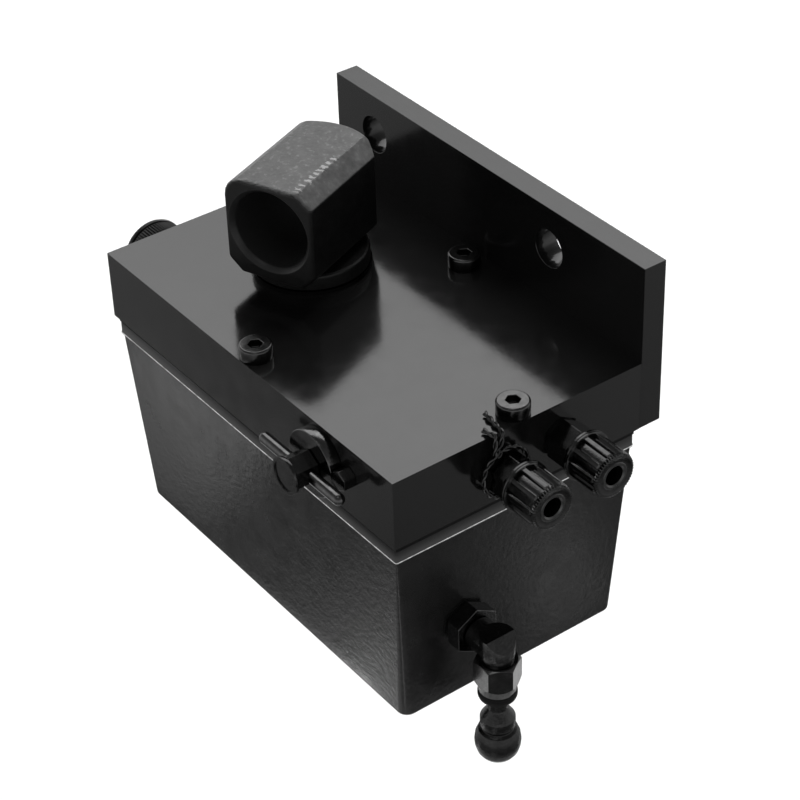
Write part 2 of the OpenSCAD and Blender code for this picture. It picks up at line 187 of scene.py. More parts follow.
# how bright the surroundings are, from straight down (0) to straight up (1):
# the part above the table, and what lies below it to the left and to the right
ABOVE_TABLE = [(0.33, 0.6), (0.45, 1.0), (0.58, 1.0), (0.75, 0.3), (1.0, 0.16)]
BELOW_LEFT = [
    (0.0, 0.5), (0.11, 0.6), (0.135, 0.7), (0.152, 0.04), (0.17, 0.07), (0.178, 0.14),
    (0.19, 0.25), (0.207, 0.17),
]
BELOW_RIGHT = [
    (0.0, 0.5), (0.09, 0.5), (0.115, 0.07), (0.148, 0.08), (0.163, 0.08), (0.185, 0.25),
]
# how far left and right of the middle the two sides blend into each other
SIDE_BLEND = 0.2


def studio_world():
    """Soft surroundings: dim above, bright round the horizon, banded below it."""
    world = bpy.data.worlds.new("studio")
    world.use_nodes = True
    tree = world.node_tree
    coords = tree.nodes.new("ShaderNodeTexCoord")
    split = tree.nodes.new("ShaderNodeSeparateXYZ")
    tree.links.new(coords.outputs["Generated"], split.inputs["Vector"])
    height = tree.nodes.new("ShaderNodeMapRange")
    height.inputs["From Min"].default_value = -1
    tree.links.new(split.outputs["Z"], height.inputs["Value"])
    side = tree.nodes.new("ShaderNodeMapRange")
    side.inputs["From Min"].default_value = -SIDE_BLEND
    side.inputs["From Max"].default_value = SIDE_BLEND
    tree.links.new(split.outputs["X"], side.inputs["Value"])
    mix = tree.nodes.new("ShaderNodeMix")
    mix.data_type = "RGBA"
    tree.links.new(side.outputs["Result"], mix.inputs["Factor"])
    left = tone_ramp(tree, height.outputs["Result"], BELOW_LEFT + ABOVE_TABLE)
    right = tone_ramp(tree, height.outputs["Result"], BELOW_RIGHT + ABOVE_TABLE)
    tree.links.new(left, mix.inputs[6])
    tree.links.new(right, mix.inputs[7])
    tree.links.new(mix.outputs[2], tree.nodes["Background"].inputs["Color"])
    return world


def fade_with_height(lamp, low, high, least):
    """Makes a panel dimmer downwards: full at the high level, least at the low one."""
    lamp.data.use_nodes = True
    tree = lamp.data.node_tree
    place = tree.nodes.new("ShaderNodeNewGeometry")
    split = tree.nodes.new("ShaderNodeSeparateXYZ")
    tree.links.new(place.outputs["Position"], split.inputs["Vector"])
    fade = tree.nodes.new("ShaderNodeMapRange")
    fade.inputs["From Min"].default_value = low
    fade.inputs["From Max"].default_value = high
    fade.inputs["To Min"].default_value = least
    tree.links.new(split.outputs["Z"], fade.inputs["Value"])
    tree.links.new(fade.outputs["Result"], tree.nodes["Emission"].inputs["Strength"])


# panels on the table that the tank's walls mirror: place, two sides in metres, watts
TABLE_PANELS = (
    ("table_left", -0.46, -0.285, 0.18, 0.08, 0.034),
    ("table_corner", -0.178, -0.235, 0.04, 0.04, 0.016),
    ("table_front", 0.25, -0.34, 0.06, 0.1, 0.035),
    ("table_right", 0.315, 0.215, 0.05, 0.08, 0.011),
)
# panels that only the small steel parts' side facets mirror
FACET_PANELS = (
    ("facets_left", -0.19, -0.3, 0.09, 0.09, 0.026),
    ("facets_right", 0.047, 0.287, 0.09, 0.09, 0.026),
)


def low_panel(name, x, y, width, depth, power):
    """A panel lying on the table and facing up. It isn't seen itself."""
    place = Vector((x, y, FLOOR_Z)) + Vector((0, 0, 0.002))
    panel = area_light(name, place, place + Vector((0, 0, 1)), width, depth, power)
    panel.visible_camera = False
    return panel


def light_steel_parts(pieces):
    """Adds the facet panels and lets them light these pieces only."""
    chosen = bpy.data.collections.new("steel_parts")
    for piece in pieces:
        chosen.objects.link(piece)
    for row in FACET_PANELS:
        low_panel(*row).light_linking.receiver_collection = chosen


def make_studio():
    scene = bpy.context.scene
    scene.view_settings.view_transform = "Standard"
    scene.view_settings.look = "None"
    scene.world = studio_world()
    middle = centre("lid")
    # the wide bright backdrop that the lid's top mirrors
    place = middle + Vector((-1.3, 0.95, 1.65))
    backdrop = area_light("backdrop", place, middle, width=3.0, height=1.7, power=41)
    fade_with_height(backdrop, low=1.1, high=1.4, least=0.5)
    # the main soft light from above
    place = middle + Vector((0.3, -0.5, 1.8))
    area_light("key", place, middle, width=0.8, height=0.8, power=2)
    # brightens the floor behind the reservoir and isn't mirrored
    place = middle + Vector((-0.35, 0.45, 1.1))
    aim = middle + Vector((-0.45, 0.35, -0.4))
    wash = area_light("floor_wash", place, aim, width=0.5, height=0.5, power=12)
    wash.visible_glossy = False
    for row in TABLE_PANELS:
        low_panel(*row)


def make_floor():
    """The pale floor. The black paint doesn't mirror it."""
    mesh = bmesh.new()
    bmesh.ops.create_grid(mesh, x_segments=1, y_segments=1, size=6)
    data = bpy.data.meshes.new("floor")
    mesh.to_mesh(data)
    mesh.free()
    floor = bpy.data.objects.new("floor", data)
    floor.location = (0, 0, FLOOR_Z)
    floor.visible_glossy = False
    bpy.context.scene.collection.objects.link(floor)
    material = bpy.data.materials.new("floor_pale")
    material.use_nodes = True
    shader = material.node_tree.nodes["Principled BSDF"]
    shader.inputs["Base Color"].default_value = (0.9, 0.9, 0.9, 1)
    shader.inputs["Roughness"].default_value = 0.9
    data.materials.append(material)


# ---- materials ----

class Nodes:
    """A new node material with short ways to add the nodes that repeat."""

    def __init__(self, name):
        self.material = bpy.data.materials.new(name)
        self.material.use_nodes = True
        self.tree = self.material.node_tree
        self.shader = self.tree.nodes["Principled BSDF"]
        coords = self.add("ShaderNodeTexCoord")
        self.place = coords.outputs["Object"]

    def add(self, kind, **settings):
        node = self.tree.nodes.new(kind)
        for key, value in settings.items():
            setattr(node, key, value)
        return node

    def link(self, source, target):
        self.tree.links.new(source, target)

    def noise(self, scale, detail=3, rough=0.5):
        node = self.add("ShaderNodeTexNoise")
        node.inputs["Scale"].default_value = scale
        node.inputs["Detail"].default_value = detail
        node.inputs["Roughness"].default_value = rough
        self.link(self.place, node.inputs["Vector"])
        return node.outputs["Fac"]

    def ramp(self, source, stops):
        return tone_ramp(self.tree, source, stops)

    def maths(self, operation, a, b):
        node = self.add("ShaderNodeMath", operation=operation)
        for socket, value in zip(node.inputs, (a, b)):
            if isinstance(value, (int, float)):
                socket.default_value = value
            else:
                self.link(value, socket)
        return node.outputs["Value"]

    def mix(self, factor, a, b):
        node = self.add("ShaderNodeMix", data_type="RGBA")
        self.link(factor, node.inputs["Factor"])
        for socket, value in ((node.inputs[6], a), (node.inputs[7], b)):
            if isinstance(value, tuple):
                socket.default_value = (*value, 1)
            else:
                self.link(value, socket)
        return node.outputs[2]

    def along(self, direction, start):
        """Millimetres from a point, measured along a direction."""
        node = self.add("ShaderNodeVectorMath", operation="DOT_PRODUCT")
        node.inputs[1].default_value = direction
        self.link(self.place, node.inputs[0])
        off = self.maths("SUBTRACT", node.outputs["Value"], start.dot(direction))
        return self.maths("MULTIPLY", off, 1000)

    def band(self, value, low, high, soft):
        """1 where a value is between two limits, fading out past them."""
        width = (high - low) / 2
        off = self.maths("SUBTRACT", value, (high + low) / 2)
        off = self.maths("SUBTRACT", width + soft, self.maths("ABSOLUTE", off, 0))
        node = self.add("ShaderNodeMapRange")
        node.inputs["From Max"].default_value = soft
        self.link(off, node.inputs["Value"])
        return node.outputs["Result"]

    def bump(self, height, strength, distance):
        """Raises the surface by a value, over a distance in metres."""
        node = self.add("ShaderNodeBump")
        node.inputs["Strength"].default_value = strength
        node.inputs["Distance"].default_value = distance
        self.link(height, node.inputs["Height"])
        self.link(node.outputs["Normal"], self.shader.inputs["Normal"])

    def set(self, **values):
        for key, value in values.items():
            self.shader.inputs[key.replace("_", " ")].default_value = value


def paint(name, dark, light, rough_low, rough_high, grain, grain_depth, shine=0.5):
    """Black paint: faint tone changes, uneven gloss and a fine orange peel."""
    n = Nodes(name)
    n.set(Specular_IOR_Level=shine)
    tone = n.noise(60, 4)
    n.link(n.mix(tone, grey(dark), grey(light)), n.shader.inputs["Base Color"])
    gloss = n.noise(140, 5, 0.6)
    n.link(n.ramp(gloss, [(0.3, rough_low), (0.75, rough_high)]), n.shader.inputs["Roughness"])
    n.bump(n.noise(grain, 2), 0.35, grain_depth)
    return n.material


def lid_paint():
    return paint("lid_paint", 0.004, 0.006, 0.10, 0.17, 900, 0.00002)


def plate_paint():
    return paint("plate_paint", 0.004, 0.006, 0.12, 0.2, 900, 0.00002, 0.42)


def tank_paint():
    return paint("tank_paint", 0.005, 0.009, 0.2, 0.29, 600, 0.0002)


def blackened(name="black_steel", value=0.05, rough=0.15, dents=0.00004):
    """Blackened steel: dark oxide with lighter rubbed patches and fine marks."""
    n = Nodes(name)
    patches = n.noise(420, 5, 0.65)
    tone = n.ramp(patches, [(0.35, value * 0.75), (0.6, value), (0.8, value * 1.6)])
    n.link(tone, n.shader.inputs["Base Color"])
    gloss = n.noise(300, 4, 0.6)
    n.link(n.ramp(gloss, [(0.3, rough * 0.75), (0.75, rough * 1.35)]), n.shader.inputs["Roughness"])
    n.bump(n.noise(1600, 3), 0.3, dents)
    n.set(Metallic=1.0)
    return n.material


def cast_black(foot, right, back):
    """Matt black forging whose upward faces are painted pale as light from above, with random wear
    chips, and with a comb of bare marks on one edge.

    foot is on the lid under its turning axis, right and back are its own directions.
    """
    n = Nodes("cast_black")
    geometry = n.add("ShaderNodeNewGeometry")
    split = n.add("ShaderNodeSeparateXYZ")
    n.link(geometry.outputs["Normal"], split.inputs["Vector"])
    chips = n.maths("MULTIPLY", n.maths("SUBTRACT", n.noise(650, 2, 0.5), 0.5), 0.5)
    # painted top light: faces that look up and lie high over the lid are painted paler as lit from
    # above, with random wear chips mixed in
    rise = n.along(Vector((0, 0, 1)), foot)
    high = n.add("ShaderNodeMapRange")
    high.inputs["From Min"].default_value = LIT_AND_WORN_FROM
    high.inputs["From Max"].default_value = LIT_AND_WORN_FULL
    n.link(rise, high.inputs["Value"])
    painted_top_light = n.maths("MULTIPLY", split.outputs["Z"], high.outputs["Result"])
    top_light_and_chips = n.maths("ADD", painted_top_light, chips)
    # greys of the painted top light and chips: near black below, pale where lit from above
    tone = n.ramp(top_light_and_chips, [(0.45, 0.004), (0.62, 0.045), (0.82, 0.06), (0.9, 0.085), (0.97, 0.035)])
    grit = n.noise(900, 5, 0.6)
    blotch = n.ramp(n.noise(260, 4, 0.6), [(0.3, 0.55), (0.7, 1.3)])
    shade = n.add("ShaderNodeMix", data_type="RGBA", blend_type="MULTIPLY")
    shade.inputs["Factor"].default_value = 1
    n.link(tone, shade.inputs[6])
    n.link(blotch, shade.inputs[7])
    across = n.along(right, foot)
    inward = n.along(back, foot)
    # the port's flared rim and its bore have an even tone of their own
    drop = n.maths("SUBTRACT", rise, PORT_HEIGHT)
    squares = n.maths("ADD", n.maths("POWER", across, 2), n.maths("POWER", drop, 2))
    radius = n.maths("SQRT", squares, 0)
    ahead = n.band(inward, PORT_FACE - 2, 7, 0.1)
    rim = n.maths("MULTIPLY", n.band(radius, -1, PORT_RIM_RADIUS + 0.1, 0.1), ahead)
    hole = n.maths("MULTIPLY", n.band(radius, -1, PORT_RADIUS, 0.1), ahead)
    body = n.mix(rim, shade.outputs[2], grey(0.016))
    body = n.mix(hole, body, grey(0.018))
    # bare marks side by side along the front half of the top's right-hand edge
    wobble = n.maths("MULTIPLY", n.noise(420, 3), 9)
    wave = n.maths("SINE", n.maths("ADD", n.maths("MULTIPLY", inward, 2.6), wobble), 0)
    ragged = n.maths("ADD", across, n.maths("MULTIPLY", n.noise(500, 2), 3))
    marks = n.maths(
        "MULTIPLY", n.band(ragged, *MARKS_ACROSS, 0.4), n.band(inward, *MARKS_BACK, 1.5)
    )
    marks = n.maths("MULTIPLY", marks, n.maths("GREATER_THAN", wave, 0.1))
    marks = n.maths("MULTIPLY", marks, high.outputs["Result"])
    n.link(n.mix(marks, body, grey(0.22)), n.shader.inputs["Base Color"])
    shine = n.ramp(top_light_and_chips, [(0.45, 0.28), (0.65, 0.45)])
    n.link(shine, n.shader.inputs["Specular IOR Level"])
    n.link(n.ramp(grit, [(0.3, 0.34), (0.8, 0.5)]), n.shader.inputs["Roughness"])
    n.bump(grit, 0.5, 0.00012)
    return n.material


def painted_bead_highlight():
    """A painted highlight: a pale, partly metallic line along an edge, standing in for light caught
    on a rounded bead.
    """
    n = Nodes("painted_bead_highlight")
    n.link(n.ramp(n.noise(500, 4), [(0.35, 0.45), (0.6, 0.9)]), n.shader.inputs["Base Color"])
    n.set(Metallic=0.6, Roughness=0.3)
    n.bump(n.noise(1500, 3), 0.3, 0.00005)
    return n.material


def rubber():
    """Black rubber that hardly shines, for every seal."""
    n = Nodes("seal_rubber")
    n.link(n.ramp(n.noise(300, 3), [(0.3, 0.002), (0.8, 0.004)]), n.shader.inputs["Base Color"])
    n.set(Roughness=0.5, Specular_IOR_Level=0.12)
    n.bump(n.noise(1500, 3), 0.3, 0.00005)
    return n.material


def plain_steel():
    """Bare steel for the parts inside the tank."""
    n = Nodes("plain_steel")
    n.link(n.ramp(n.noise(500, 4), [(0.3, 0.28), (0.8, 0.42)]), n.shader.inputs["Base Color"])
    n.set(Metallic=1.0)
    n.link(n.ramp(n.noise(900, 4), [(0.3, 0.25), (0.8, 0.4)]), n.shader.inputs["Roughness"])
    return n.material


# ---- finishing the CAD nodes that stay ----

def finish_node(node, material, bevel=0.0, segments=2):
    """Gives a CAD node its material and, where asked, rounded edges."""
    piece = NODES[node]
    piece.data.materials.clear()
    piece.data.materials.append(material)
    if bevel:
        weld = piece.modifiers.new("weld", "WELD")
        weld.merge_threshold = 0.00001
        flat = piece.modifiers.new("flat_faces", "DECIMATE")
        flat.decimate_type = "DISSOLVE"
        flat.angle_limit = math.radians(0.7)
        edges = piece.modifiers.new("edges", "BEVEL")
        edges.width = bevel * MM
        edges.segments = segments
        edges.limit_method = "ANGLE"
        edges.angle_limit = math.radians(28)
        edges.harden_normals = True


# ---- pieces built here ----

def plain_mesh(name, points, faces):
    """A closed mesh whose faces all look outwards."""
    data = bpy.data.meshes.new(name)
    data.from_pydata([tuple(p) for p in points], [], faces)
    mesh = bmesh.new()
    mesh.from_mesh(data)
    bmesh.ops.recalc_face_normals(mesh, faces=mesh.faces)
    mesh.to_mesh(data)
    mesh.free()
    return data


def add_piece(name, points, faces, material, node, sharp=35):
    """A mesh piece that stands for a CAD node and moves with its body."""
    data = plain_mesh(name, points, faces)
    data.shade_smooth()
    data.set_sharp_from_angle(angle=math.radians(sharp))
    data.materials.append(material)
    piece = bpy.data.objects.new(name, data)
    bpy.context.scene.collection.objects.link(piece)
    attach(piece, NODES[node]["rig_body"])
    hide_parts(node)
    return piece


def ring_faces(first, second, count):
    """Quads between two rings of points that start at these indices."""
    faces = []
    for k in range(count):
        after = (k + 1) % count
        faces.append((first + k, first + after, second + after, second + k))
    return faces


def turned(profile, start, axis, count, waves=(), closed=True):
    """Points and faces of a turned shape whose radius may vary round the axis.

    Each profile row is (millimetres along the axis, radius, depth of each wave). A
    closed profile joins its last row to its first, and an open one gets two end faces.
    """
    axis = Vector(axis).normalized()
    side = axis.orthogonal().normalized()
    up = axis.cross(side)
    points = []
    for row in profile:
        for k in range(count):
            turn = k / count
            radius = row[1]
            for depth, wave in zip(row[2:], waves):
                radius += depth * wave(turn)
            angle = turn * math.tau
            across = side * math.cos(angle) + up * math.sin(angle)
            points.append(start + (axis * row[0] + across * radius) * MM)
    faces = []
    for k in range(len(profile) - 1):
        faces += ring_faces(k * count, (k + 1) * count, count)
    if closed:
        faces += ring_faces((len(profile) - 1) * count, 0, count)
    else:
        faces.append(tuple(range(count)))
        faces.append(tuple(range((len(profile) - 1) * count, len(profile) * count)))
    return points, faces


def ribs(count, share, edge):
    """A wave that is 1 on raised ribs and 0 between them."""
    def wave(turn):
        off = abs((turn * count) % 1 - 0.5)
        return min(1, max(0, (share / 2 - off) / edge + 0.5))
    return wave


def teeth(count):
    """A wave of pointed teeth from 0 to 1."""
    def wave(turn):
        return 1 - 2 * abs((turn * count) % 1 - 0.5)
    return wave


def union_nut(number, material, inside):
    """Ribbed nut: base flange, ten ribs, a serrated end rim and a ring round the bore."""
    node = f"tube_nut_{number}"
    around = 240
    bore_first, bore_end = 16, 19
    low, high = lo(node), hi(node)
    start = Vector((low.x, (low.y + high.y) / 2, (low.z + high.z) / 2))
    profile = [
        (0, 7.6, 0, 0), (0.3, 8, 0, 0), (0.9, 8, 0, 0), (1.1, 7.8, 0, 0), (1.3, 8, 0, 0),
        (1.7, 8, 0, 0), (1.9, 7.5, 0, 0), (1.95, 6.45, 1.05, 0), (11.9, 6.45, 1.05, 0),
        (12.2, 6.45, 0.6, 0), (12.25, 6.7, 0, 0.5), (13.1, 6.7, 0, 0.6), (13.4, 6.5, 0, 0.4),
        (13.5, 6.3, 0, 0), (13.35, 5.9, 0, 0), (13.35, 4.5, 0, 0), (13.5, 4.3, 0, 0),
        (13.5, 3.6, 0, 0), (13.1, 3.11, 0, 0), (10.6, 3.11, 0, 0), (10.6, 5.56, 0, 0),
        (0, 5.56, 0, 0),
    ]
    waves = (ribs(10, 0.4, 0.1), teeth(48))
    points, faces = turned(profile, start, (1, 0, 0), around, waves)
    piece = add_piece(f"ribbed_nut_{number}", points, faces, material, node)
    piece.data.materials.append(inside)
    for face in piece.data.polygons[bore_first * around:bore_end * around]:
        face.material_index = 1
    return piece


def knurled_cap(material):
    """The side cap: a band of fine teeth, a plain rim and a shallow recess in its end."""
    low, high = lo("side_cap"), hi("side_cap")
    start = Vector((high.x, (low.y + high.y) / 2, (low.z + high.z) / 2))
    profile = [
        (5.2, 6.06, 0), (0, 6.06, 0), (0, 10, 0), (0.4, 10.35, 0), (0.6, 10.35, 0.25),
        (5.4, 10.35, 0.25), (5.6, 10.2, 0), (5.9, 10.2, 0), (6.2, 10.55, 0), (7.4, 10.55, 0),
        (7.8, 10.35, 0), (8, 9.9, 0), (8, 8.8, 0), (7.7, 8.5, 0), (7.7, 3, 0),
    ]
    points, faces = turned(profile, start, (-1, 0, 0), 288, (teeth(72),), closed=False)
    return add_piece("knurled_side_cap", points, faces, material, "side_cap")


def soft_collar(material):
    """The rubber collar with rounded edges between the swivel and the plug."""
    low, high = lo("outlet_collar"), hi("outlet_collar")
    start = Vector(((low.x + high.x) / 2, (low.y + high.y) / 2, high.z))
    profile = [
        (0, 3.05), (0, 5.3), (0.3, 5.75), (0.8, 5.95), (1.5, 6), (2.2, 5.95), (2.9, 5.7),
        (3.3, 5.2), (3.4, 4.6), (3.4, 3.05),
    ]
    points, faces = turned(profile, start, (0, 0, -1), 72)
    return add_piece("soft_collar", points, faces, material, "outlet_collar", 50)


def rounded_ring(x0, x1, y0, y1, radius, z, steps):
    """One level of a box with rounded corners, as points in order."""
    points = []
    corners = ((x1, y1, 0), (x0, y1, 90), (x0, y0, 180), (x1, y0, 270))
    for x, y, begin in corners:
        middle_x = x - radius if x == x1 else x + radius
        middle_y = y - radius if y == y1 else y + radius
        for k in range(steps + 1):
            angle = math.radians(begin + 90 * k / steps)
            points.append(Vector((
                middle_x + radius * math.cos(angle), middle_y + radius * math.sin(angle), z,
            )))
    return points


def tank_shell(material, rim_material):
    """Drafted tank with rounded corners, a bead round its rim and a hollow inside."""
    low, high = lo("tank"), hi("tank")
    steps = 6
    wall = 4
    top = high.z
    rim_edge = top - 4.5 * MM
    slope = math.tan(math.radians(2.7))
    depth = rim_edge - low.z
    # each level is (height, millimetres inside the rim, corner radius)
    levels = [
        (top - 0.1 * MM, 0, 0.9), (rim_edge + 0.75 * MM, 0, 0.9), (rim_edge + 0.6 * MM, -0.15, 1),
        (rim_edge + 0.3 * MM, -0.25, 1), (rim_edge + 0.05 * MM, -0.15, 1), (rim_edge, 0.1, 0.9),
    ]
    for share in (0.0, 0.1, 0.3, 0.5, 0.7, 0.9, 0.985):
        inset = 0.4 + depth * share * slope / MM
        levels.append((rim_edge - depth * share - 0.02 * MM, inset, 0.9 + 2.5 * share))
    end = 0.4 + depth * slope / MM
    levels += [
        (low.z + 0.5 * MM, end, 3.4), (low.z + 0.12 * MM, end + 0.35, 3.2),
        (low.z, end + 1, 3),
    ]
    outer = len(levels)
    levels += [(low.z + wall * MM, end + wall, 2), (top - 0.1 * MM, wall + 0.4, 1.5)]
    points = []
    for z, inset, radius in levels:
        off = inset * MM
        points += rounded_ring(
            low.x + off, high.x - off, low.y + off, high.y - off, radius * MM, z, steps
        )
    count = 4 * (steps + 1)
    faces = []
    for k in range(outer - 1):
        faces += ring_faces(k * count, (k + 1) * count, count)
    faces.append(tuple(range((outer - 1) * count, outer * count)))
    faces.append(tuple(range(outer * count, (outer + 1) * count)))
    faces += ring_faces(outer * count, (outer + 1) * count, count)
    faces += ring_faces((outer + 1) * count, 0, count)
    piece = add_piece("tank_shell", points, faces, material, "tank", 50)
    # a second slot for the bead's painted highlight and a third for the rim
    piece.data.materials.append(painted_bead_highlight())
    piece.data.materials.append(rim_material)
    # the rim has the lid's paint, and the bead under it gets a pale painted highlight line
    for face in piece.data.polygons[2 * count:3 * count]:
        face.material_index = 1
    for face in piece.data.polygons[:2 * count]:
        face.material_index = 2
    return piece


def rounded_outline(corners, steps=5):
    """The points of a closed outline whose corners are (x, y, radius)."""
    points = []
    for k, (x, y, radius) in enumerate(corners):
        here = Vector((x, y))
        before = Vector(corners[k - 1][:2]) - here
        after = Vector(corners[(k + 1) % len(corners)][:2]) - here
        half = before.angle(after) / 2
        reach = radius / math.tan(half)
        inward = (before.normalized() + after.normalized()).normalized()
        inner = here + inward * radius / math.sin(half)
        first = here + before.normalized() * reach - inner
        last = here + after.normalized() * reach - inner
        sweep = first.angle_signed(last)
        for step in range(steps + 1):
            angle = -sweep * step / steps
            points.append(inner + Vector((
                first.x * math.cos(angle) - first.y * math.sin(angle),
                first.x * math.sin(angle) + first.y * math.cos(angle),
            )))
    return points


def width_at(outline, height, side):
    """How far the outline reaches to one side at a height."""
    tiny = 1e-6
    reach = 0.0
    for k, a in enumerate(outline):
        b = outline[(k + 1) % len(outline)]
        if not min(a.y, b.y) - tiny <= height <= max(a.y, b.y) + tiny:
            continue
        if abs(b.y - a.y) < tiny:
            reach = max(reach, side * a.x, side * b.x)
        else:
            share = min(1, max(0, (height - a.y) / (b.y - a.y)))
            reach = max(reach, side * (a.x + (b.x - a.x) * share))
    return reach


def fillet(distance, radius):
    """How far a rounded edge falls back this close to it."""
    if distance >= radius:
        return 0.0
    return radius - math.sqrt(max(0.0, radius * radius - (radius - distance) ** 2))


# how many steps the elbow's front and right-hand edges are made in, and each
# step may have a chip
FRONT_STEPS = 40
SIDE_STEPS = 80


def elbow_level(outline, height, top, dents):
    """One level of the elbow's block in its own frame: flat port face, round back."""
    left = width_at(outline, height, -1)
    right = width_at(outline, height, 1)
    below = top - height
    back_r = ELBOW_BACK - fillet(below, 1.5)
    face = PORT_FACE + fillet(below, 1.2) + fillet(height - BLOCK_FOOT, 1.2)
    corner = 1.3
    near_top = max(0.0, 1 - below / 1.1)
    points = []

    def arc(u, v, begin):
        for step in range(5):
            angle = math.radians(begin + 90 * step / 4)
            points.append((u + corner * math.cos(angle), v + corner * math.sin(angle)))

    span = left + right - 2 * corner
    for k in range(1, FRONT_STEPS):
        dent = dents[k] * near_top
        points.append((-left + corner + span * k / FRONT_STEPS, face + dent))
    arc(right - corner, face + corner, -90)
    end = math.sqrt(back_r ** 2 - right ** 2)
    for k in range(1, SIDE_STEPS):
        dent = dents[FRONT_STEPS + k] * near_top
        points.append((right - dent, face + corner + (end - face - corner) * k / SIDE_STEPS))
    first = math.atan2(end, right)
    end_left = math.sqrt(back_r ** 2 - left ** 2)
    last = math.atan2(end_left, -left)
    back_steps, left_steps = 40, 20
    for k in range(back_steps + 1):
        angle = first + (last - first) * k / back_steps
        points.append((back_r * math.cos(angle), back_r * math.sin(angle)))
    for k in range(1, left_steps):
        points.append((-left, end_left + (face + corner - end_left) * k / left_steps))
    arc(-left + corner, face + corner, 180)
    return points


def worn_elbow():
    """The filler elbow: forged block with rounded edges, chipped top, flared port."""
    chance = random.Random(7)
    middle = centre("elbow_washer")
    right = Vector((math.cos(ELBOW_TURN), math.sin(ELBOW_TURN), 0))
    back = Vector((-math.sin(ELBOW_TURN), math.cos(ELBOW_TURN), 0))
    foot = Vector((middle.x, middle.y, LID_HI.z))
    material = cast_black(foot, right, back)
    top = (hi("filler_elbow").z - LID_HI.z) / MM
    # the block seen from its port's side: (across, height, corner radius)
    outline = rounded_outline([
        (-15.5, 10.1, 2), (-10.9, BLOCK_FOOT, 2), (10.9, BLOCK_FOOT, 2), (15.5, 10.1, 2),
        (15.5, 34.2, 1), (10.2, top, 0.8), (-15.5, top, 7),
    ])
    # chips along the top's front edge and then along its right-hand edge, whose
    # front two thirds have the deeper ones
    dents = []
    for k in range(FRONT_STEPS + SIDE_STEPS):
        deep = 0.55 if FRONT_STEPS < k < FRONT_STEPS + 55 else 0.25
        dents.append(chance.random() * deep if chance.random() < 0.55 else 0.0)
    heights = {round(p.y, 3) for p in outline} | {12 + 2 * k for k in range(10)}
    heights = sorted(heights | {top - 1.2, top - 0.9, top - 0.4, top - 0.15})
    points = []
    for height in heights:
        for u, v in elbow_level(outline, height, top, dents):
            points.append(foot + (right * u + back * v + Vector((0, 0, height))) * MM)
    count = len(points) // len(heights)
    faces = []
    for k in range(len(heights) - 1):
        faces += ring_faces(k * count, (k + 1) * count, count)
    faces.append(tuple(range(count)))
    faces.append(tuple(range(len(points) - count, len(points))))
    piece = add_piece(
        "worn_elbow", points, faces, material, "filler_elbow", ELBOW_SHARP
    )
    bore = [
        (-3, 19), (-0.01, PORT_RIM_RADIUS), (0.5, 13.6), (1.4, 12.9), (2, PORT_RADIUS),
        (15, PORT_RADIUS), (19, 12), (22, 10.9), (25, 9), (27.5, 6), (29, 3),
    ]
    around = 96
    mouth = foot + Vector((0, 0, PORT_HEIGHT * MM)) + back * PORT_FACE * MM
    points, faces = turned(bore, mouth, back, around, closed=False)
    cut(piece, points, faces)
    neck = [
        (-16, 10.1), (-16, 13.1), (1, 13.1), (1.25, 18.1), (1.6, 18.5), (5.2, 18.5), (5.9, 18.2),
        (6.3, 17.6), (6.3, 10.1),
    ]
    points, faces = turned(neck, foot, (0, 0, 1), around)
    join(piece, points, faces)
    level = piece.modifiers.new("level", "WEIGHTED_NORMAL")
    level.keep_sharp = True
    return piece


def cut(piece, points, faces):
    """Cuts a closed shape out of a piece for good."""
    tool = bpy.data.objects.new("cutter", plain_mesh("cutter", points, faces))
    bpy.context.scene.collection.objects.link(tool)
    step = piece.modifiers.new("cut", "BOOLEAN")
    step.operation = "DIFFERENCE"
    step.solver = "EXACT"
    step.object = tool
    bpy.context.view_layer.update()
    seen = piece.evaluated_get(bpy.context.evaluated_depsgraph_get())
    data = bpy.data.meshes.new_from_object(seen)
    piece.modifiers.remove(step)
    bpy.data.objects.remove(tool)
    piece.data = data
    data.shade_smooth()
    data.set_sharp_from_angle(angle=math.radians(ELBOW_SHARP))


def join(piece, points, faces):
    """Adds another closed shape to a piece's mesh."""
    extra = plain_mesh("extra", points, faces)
    mesh = bmesh.new()
    mesh.from_mesh(piece.data)
    mesh.from_mesh(extra)
    mesh.to_mesh(piece.data)
    mesh.free()
    piece.data.shade_smooth()
    piece.data.set_sharp_from_angle(angle=math.radians(ELBOW_SHARP))


def smooth_path(corners, spacing):
    """Evenly spaced points along a Catmull-Rom curve through the corners."""
    points = []
    for k in range(1, len(corners) - 2):
        a, b, c, d = corners[k - 1:k + 3]
        pieces = max(2, round((c - b).length / spacing))
        for step in range(pieces):
            t = step / pieces
            points.append((
                b * 2 + (c - a) * t + (a * 2 - b * 5 + c * 4 - d) * t * t
                + (b * 3 - a - c * 3 + d) * t ** 3
            ) / 2)
    points.append(corners[-2])
    return points


def strands(path, off, radius, turns_per_m, sides=8):
    """Points and faces of two thin wires twisted round each other along a path."""
    points, faces = [], []
    normal = (path[1] - path[0]).orthogonal().normalized()
    frames = []
    travelled = 0.0
    for k, place in enumerate(path):
        ahead = (path[min(k + 1, len(path) - 1)] - path[max(k - 1, 0)]).normalized()
        normal = (normal - ahead * normal.dot(ahead)).normalized()
        if k:
            travelled += (place - path[k - 1]).length
        frames.append((place, normal.copy(), ahead.cross(normal), travelled))
    for strand in (0, 1):
        first = len(points)
        for place, normal, across, travelled in frames:
            turn = travelled * turns_per_m * math.tau + strand * math.pi
            middle = place + (normal * math.cos(turn) + across * math.sin(turn)) * off
            for k in range(sides):
                angle = k / sides * math.tau
                outward = normal * math.cos(angle) + across * math.sin(angle)
                points.append(middle + outward * radius)
        for k in range(len(frames) - 1):
            faces += ring_faces(first + k * sides, first + (k + 1) * sides, sides)
        faces.append(tuple(range(first, first + sides)))
        faces.append(tuple(range(len(points) - sides, len(points))))
    return points, faces


